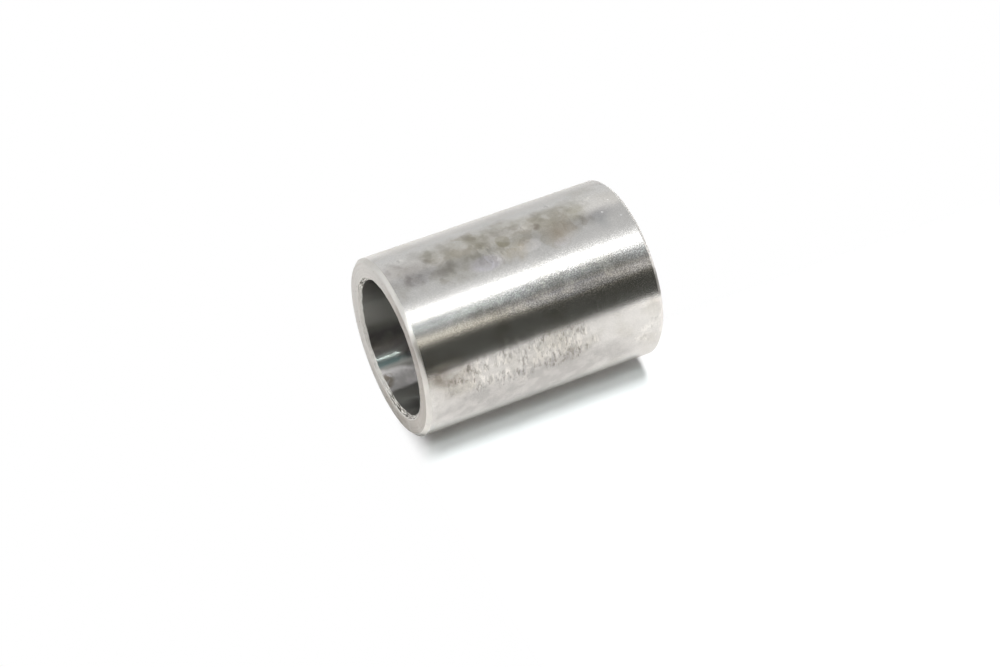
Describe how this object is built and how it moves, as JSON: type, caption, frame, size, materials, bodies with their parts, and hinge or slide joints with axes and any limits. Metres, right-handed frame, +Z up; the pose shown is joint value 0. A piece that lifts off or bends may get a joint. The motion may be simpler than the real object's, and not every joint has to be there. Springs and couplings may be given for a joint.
{
  "type": "spacer sleeve",
  "caption": "Plain tubular steel spacer sleeve with ground sides, square faced ends and a straight through bore, slipped over a bolt or shaft to hold two parts apart.",
  "frame": {"origin": "centre of the end face that the sleeve stands on", "axes": "+Z up along the axis of the bore, out of the upper end; X and Y are square to it, and the sleeve is the same all round"},
  "size_m": [0.025, 0.025, 0.035],
  "materials": {
    "ground_steel": "ground and faced, with light staining"
  },
  "bodies": {
    "root": {"sleeve": "ground_steel"}
  },
  "joints": []
}
